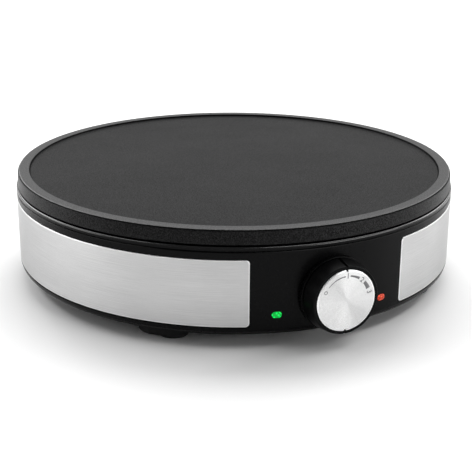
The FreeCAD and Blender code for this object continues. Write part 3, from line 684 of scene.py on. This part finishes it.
def band(a0, a1, w0, w1, radius=16.0):
    """Arc on the dial between two clock angles, w0 to w1 mm wide."""
    v, f = [], []
    n = max(6, int(abs(a1 - a0) / 1.5))
    for k in range(n + 1):
        a = math.radians(a0 + (a1 - a0) * k / n)
        w = w0 + (w1 - w0) * k / n
        for r in (radius - w / 2, radius + w / 2):
            for t in (INK_FACE, INK_FACE - 0.012):
                v.append((r * math.sin(a), -t, KNOB_Z + r * math.cos(a)))
    for k in range(n):
        b = 4 * k
        f += [(b, b + 4, b + 6, b + 2), (b + 1, b + 3, b + 7, b + 5), (b, b + 1, b + 5, b + 4), (b + 2, b + 6, b + 7, b + 3)]
    f += [(0, 2, 3, 1), (4 * n, 4 * n + 1, 4 * n + 3, 4 * n + 2)]
    return v, f


def ring_mark(a, radius, r_in, r_out):
    v, f = [], []
    ca = math.radians(a)
    cx, cz = radius * math.sin(ca), radius * math.cos(ca)
    n = 28
    for k in range(n):
        th = 2 * math.pi * k / n
        for r in (r_in, r_out):
            for t in (INK_FACE, INK_FACE - 0.012):
                v.append((cx + r * math.cos(th), -t, KNOB_Z + cz + r * math.sin(th)))
    for k in range(n):
        b, c = 4 * k, 4 * ((k + 1) % n)
        f += [(b, c, c + 2, b + 2), (b + 1, b + 3, c + 3, c + 1), (b, b + 1, c + 1, c), (b + 2, c + 2, c + 3, b + 3)]
    return v, f


marks = weld(mesh_object("dial_band", *merge([
    band(-50, -4, 0.35, 0.85), band(8, 32, 1.0, 1.7), band(48.5, 67.5, 2.0, 2.7), ring_mark(-63, 16.0, 0.8, 1.2)])), 1e-9)
finish_piece(marks, "knob", ink, "black_knob")
for text, a in (("1", 2.0), ("2", 40.5), ("3", 77.0)):
    cu = bpy.data.curves.new("digit_" + text, "FONT")
    cu.body = text
    cu.size = 4.6 * MM
    cu.offset = 0.08 * MM
    cu.align_x = "CENTER"
    cu.align_y = "CENTER"
    cu.extrude = 0.006 * MM
    ob = bpy.data.objects.new("digit_src_" + text, cu)
    bpy.context.scene.collection.objects.link(ob)
    bpy.context.view_layer.update()
    me = bpy.data.meshes.new_from_object(ob.evaluated_get(bpy.context.evaluated_depsgraph_get()))
    bpy.data.objects.remove(ob)
    ca = math.radians(a)
    # text stands upright where its own mark points outwards, as on a dial
    to_face = Matrix(((1, 0, 0, 0), (0, 0, -1, 0), (0, 1, 0, 0), (0, 0, 0, 1)))
    spin = Matrix.Rotation(ca, 4, "Y")
    place = Matrix.Translation(Vector((16.0 * MM * math.sin(ca), -(INK_FACE - 0.006) * MM, (KNOB_Z + 16.0 * math.cos(ca)) * MM)))
    me.transform(place @ spin @ to_face)
    d = bpy.data.objects.new("dial_digit_" + text, me)
    bpy.context.scene.collection.objects.link(d)
    me.materials.clear()
    finish_piece(d, "knob", ink, "black_knob")

# --------------------------------------------------------------------------- the collar
collar_profile = rounded([(150.0, 24.0), (160.5, 24.0), (160.5, 19.5), (150.0, 19.5)], [0, 0.45, 0.4, 0], 5)
cv, cf_ = lathe_knob(collar_profile, [2 * math.pi * k / 128 for k in range(128)])
fixed = []
for x, y, z in cv:
    if y > -157.0:
        y = -math.sqrt((BODY_R + 0.03) ** 2 - x * x)
    fixed.append((x, y, z))
collar = weld(mesh_object("knob_bezel", fixed, cf_))
finish_piece(collar, "base", slot_mat["black_housing"], "black_housing", "knob_collar")
tick_v = []
for x in (-0.55, 0.55):
    for zz in (21.0, 23.3):
        for t in (160.5, 160.47):
            tick_v.append((x, -t, KNOB_Z + zz))
tick = mesh_object("index_tick", tick_v, [(0, 1, 3, 2), (4, 6, 7, 5), (0, 4, 5, 1), (2, 3, 7, 6), (0, 2, 6, 4), (1, 5, 7, 3)], False)
finish_piece(tick, "base", plain("tick_print", (0.35, 0.35, 0.35), 0.5, 0.3).m, "black_housing")


# --------------------------------------------------------------------------- the lenses
def lens_piece(name, az, slot, node):
    """Slot-shaped lens with a domed front and a flange behind the wall."""
    n = 12
    d = (LAMP_W - LAMP_H) / 2
    r = LAMP_H / 2

    def outline(grow):
        pts = []
        for k in range(n + 1):
            th = -math.pi / 2 + math.pi * k / n
            pts.append((d + (r + grow) * math.cos(th), (r + grow) * math.sin(th)))
        for k in range(n + 1):
            th = math.pi / 2 + math.pi * k / n
            pts.append((-d + (r + grow) * math.cos(th), (r + grow) * math.sin(th)))
        return pts
    layers = [(150.6, -0.3), (152.0, 0.0), (157.05, 0.0), (157.25, -0.06), (157.42, -0.25), (157.55, -0.55), (157.66, -0.95), (157.72, -1.4)]
    verts, faces = [], []
    m = 2 * (n + 1)
    for t, g in layers:
        for x, z in outline(g):
            verts.append((x, -t, LAMP_Z + z))
    for i in range(len(layers) - 1):
        for k in range(m):
            k2 = (k + 1) % m
            faces.append((i * m + k, i * m + k2, (i + 1) * m + k2, (i + 1) * m + k))
    faces.append(tuple(range(m)))
    faces.append(tuple((len(layers) - 1) * m + k for k in range(m)))
    fl = []
    for x in (-4.5, 4.5):
        for z in (-3.5, 3.5):
            for t in (152.7, 154.4):
                fl.append((x, -t, LAMP_Z + z))
    v, f = merge([(verts, faces), (fl, [(0, 1, 3, 2), (4, 6, 7, 5), (0, 4, 5, 1), (2, 3, 7, 6), (0, 2, 6, 4), (1, 5, 7, 3)])])
    ca = math.radians(az)
    v = [(x * math.cos(ca) - y * math.sin(ca), x * math.sin(ca) + y * math.cos(ca), z) for x, y, z in v]
    o = mesh_object(name, v, f)
    return finish_piece(o, "base", slot_mat[slot], slot, node)


lens_piece("signal_lens_green", -LAMP_AZ, "lens_green", "lamp_lens_green")
lens_piece("signal_lens_red", LAMP_AZ, "lens_red", "lamp_lens_red")

# ---------------------------------------------------------------------------- the feet
foot_parts = []
foot_profile = rounded([(0, 0.0), (FOOT_R - 1.9, 0.0), (FOOT_R - 1.9, 0.35), (FOOT_R - 1.2, 0.35), (FOOT_R - 1.2, 0.0),
                        (FOOT_R, 0.0), (FOOT_R, FOOT_H), (3.9, FOOT_H), (3.9, 9.5), (0, 9.5)],
                       [0, 0.12, 0.1, 0.1, 0.12, 0.7, 0.2, 0.2, 0.4, 0])
for az in FOOT_AZ:
    a = math.radians(az)
    foot_parts.append(lathe_z(foot_profile, 72, (FOOT_PCR * math.sin(a), -FOOT_PCR * math.cos(a))))
feet = weld(mesh_object("foot_pads", *merge(foot_parts)))
finish_piece(feet, "base", slot_mat["rubber"], "rubber", "rubber_feet")

# ------------------------------------------------------------------------ stage, light
floor_mat = Mat("floor_pale")
floor_mat.link(floor_mat.ramp(floor_mat.noise(1.3, 2.0), [(0.3, (0.86, 0.86, 0.86)), (0.7, (0.88, 0.88, 0.88))]),
               floor_mat.b.inputs["Base Color"])
floor_mat.set(Roughness=0.55, Specular_IOR_Level=0.25)
me = bpy.data.meshes.new("floor")
me.from_pydata([(-9, -9, 0), (9, -9, 0), (9, 9, 0), (-9, 9, 0)], [], [(0, 1, 2, 3)])
floor = bpy.data.objects.new("floor", me)
bpy.context.scene.collection.objects.link(floor)
floor.data.materials.append(floor_mat.m)

# The room is brighter behind the object than in front of it, as in a studio with a lit backdrop.
VIEW = Vector((-0.39911, -0.91691, 0.0))
LEFT = Vector((-0.91691, 0.39911, 0.0))
world = bpy.data.worlds.new("studio")
bpy.context.scene.world = world
world.use_nodes = True
wt = world.node_tree
bg = wt.nodes["Background"]
wc = wt.nodes.new("ShaderNodeTexCoord")
dot = wt.nodes.new("ShaderNodeVectorMath")
dot.operation = "DOT_PRODUCT"
dot.inputs[1].default_value = tuple(-VIEW)
wt.links.new(wc.outputs["Generated"], dot.inputs[0])
mr = wt.nodes.new("ShaderNodeMapRange")
mr.interpolation_type = "SMOOTHSTEP"
mr.inputs["From Min"].default_value = -0.35
mr.inputs["From Max"].default_value = 0.75
mr.inputs["To Min"].default_value = 0.12
mr.inputs["To Max"].default_value = 0.68
wt.links.new(dot.outputs["Value"], mr.inputs["Value"])
wt.links.new(mr.outputs["Result"], bg.inputs["Strength"])
bg.inputs["Color"].default_value = (1, 1, 1, 1)


def area(name, az, elev, dist, size, size_y, radiance, tilt=0.0, target=(0, 0, 0.06)):
    """Soft box at a compass angle from the viewing direction (positive to the right)."""
    a, e = math.radians(az), math.radians(elev)
    d = (VIEW * math.cos(a) - LEFT * math.sin(a)) * math.cos(e) + Vector((0, 0, math.sin(e)))
    pos = Vector(target) + d * dist
    li = bpy.data.lights.new(name, "AREA")
    li.shape = "RECTANGLE"
    li.size, li.size_y = size, size_y
    li.energy = radiance * math.pi * size * size_y
    ob = bpy.data.objects.new(name, li)
    bpy.context.scene.collection.objects.link(ob)
    q = (-d).to_track_quat("-Z", "Y").to_matrix().to_4x4()
    ob.matrix_world = Matrix.Translation(pos) @ q @ Matrix.Rotation(math.radians(tilt), 4, "Z")
    return ob


area("back_key", 180, 56, 1.8, 1.7, 1.0, 4.15)
area("back_left", -132, 26, 1.9, 1.3, 0.8, 4.1)
area("back_right", 130, 26, 1.9, 1.3, 0.8, 3.8)
area("left_strip", -96, 46, 1.6, 1.7, 0.30, 4.0, 25.0)
area("right_strip", 76, 54, 1.6, 1.9, 0.30, 4.8, -25.0)
area("left_low", -86, 15, 1.9, 1.3, 0.7, 2.4)
area("right_low", 62, 13, 1.9, 1.7, 0.6, 3.5)

# ------------------------------------------------------------------------------ camera
cam_data = bpy.data.cameras.new("camera")
cam = bpy.data.objects.new("camera", cam_data)
bpy.context.scene.collection.objects.link(cam)
right = Vector((0.917681, -0.397269, 0.005655))
up = Vector((0.127440, 0.307807, 0.942875))
fwd = Vector((0.376315, 0.864538, -0.333098))
loc = Vector((-0.30911, -0.71430, (RIM_Z + 216.19) * MM))
cam.matrix_world = Matrix((
    (right.x, up.x, -fwd.x, loc.x), (right.y, up.y, -fwd.y, loc.y), (right.z, up.z, -fwd.z, loc.z), (0, 0, 0, 1)))
cam_data.sensor_width = 36.0
cam_data.lens = 83.90
cam_data.clip_start = 0.01
cam_data.clip_end = 60.0
bpy.context.scene.camera = cam
bpy.context.scene.view_settings.view_transform = "Standard"
